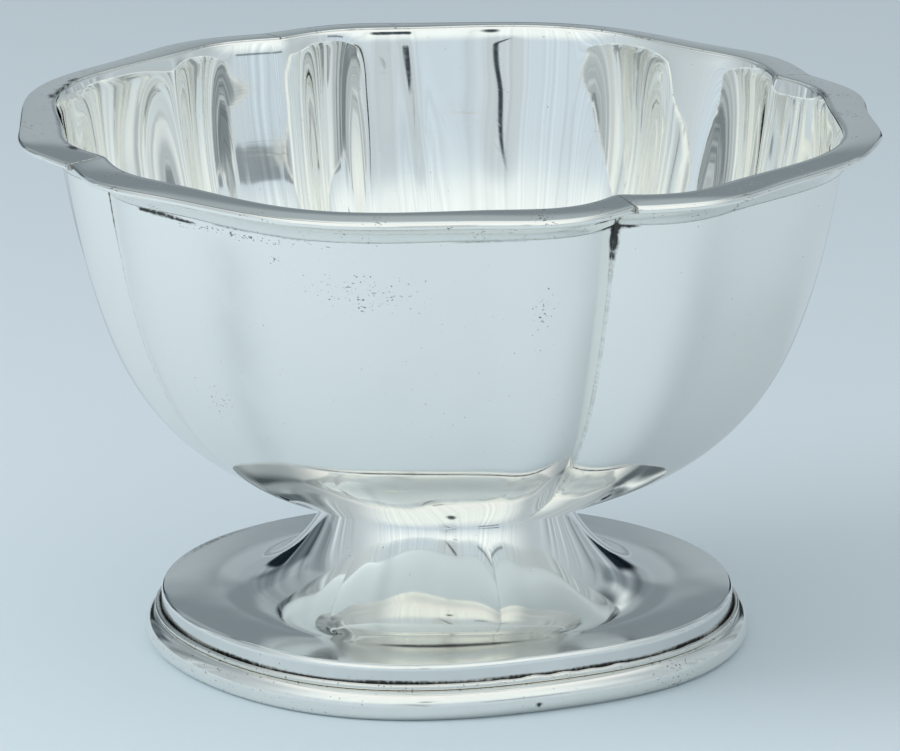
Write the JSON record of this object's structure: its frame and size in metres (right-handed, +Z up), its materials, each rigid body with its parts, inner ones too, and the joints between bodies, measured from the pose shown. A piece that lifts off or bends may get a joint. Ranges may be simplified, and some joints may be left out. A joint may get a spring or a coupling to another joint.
{
  "type": "waste bowl",
  "caption": "Footed silver bowl with a lobed, creased wall, an everted mitred rim moulding and a hollow trumpet foot edged by a half-round bead, for tea dregs at the table.",
  "frame": {"origin": "on the bowl's axis, on the table under the base bead", "axes": "+Z up along the axis; the crest of the front lobe faces -Y, and the creases lie on the diagonals"},
  "size_m": [0.1414, 0.1414, 0.0871],
  "materials": {
    "bowl_silver": "polished sterling silver, worn, with fine scratches, pits and dark tarnish in the creases",
    "rim_silver": "polished sterling silver, worn warm on the ridge, dark in the mitres",
    "foot_silver": "polished sterling silver with fine scratches",
    "fillet_silver": "silver wire, tarnished, with uneven solder along it",
    "bead_silver": "polished sterling silver, worn and pitted"
  },
  "bodies": {
    "root": {"bowl_body": "bowl_silver", "rim_wire_front": "rim_silver", "rim_wire_right": "rim_silver", "rim_wire_back": "rim_silver", "rim_wire_left": "rim_silver", "pedestal": "foot_silver", "fillet_wire": "fillet_silver", "base_bead": "bead_silver"}
  },
  "joints": []
}
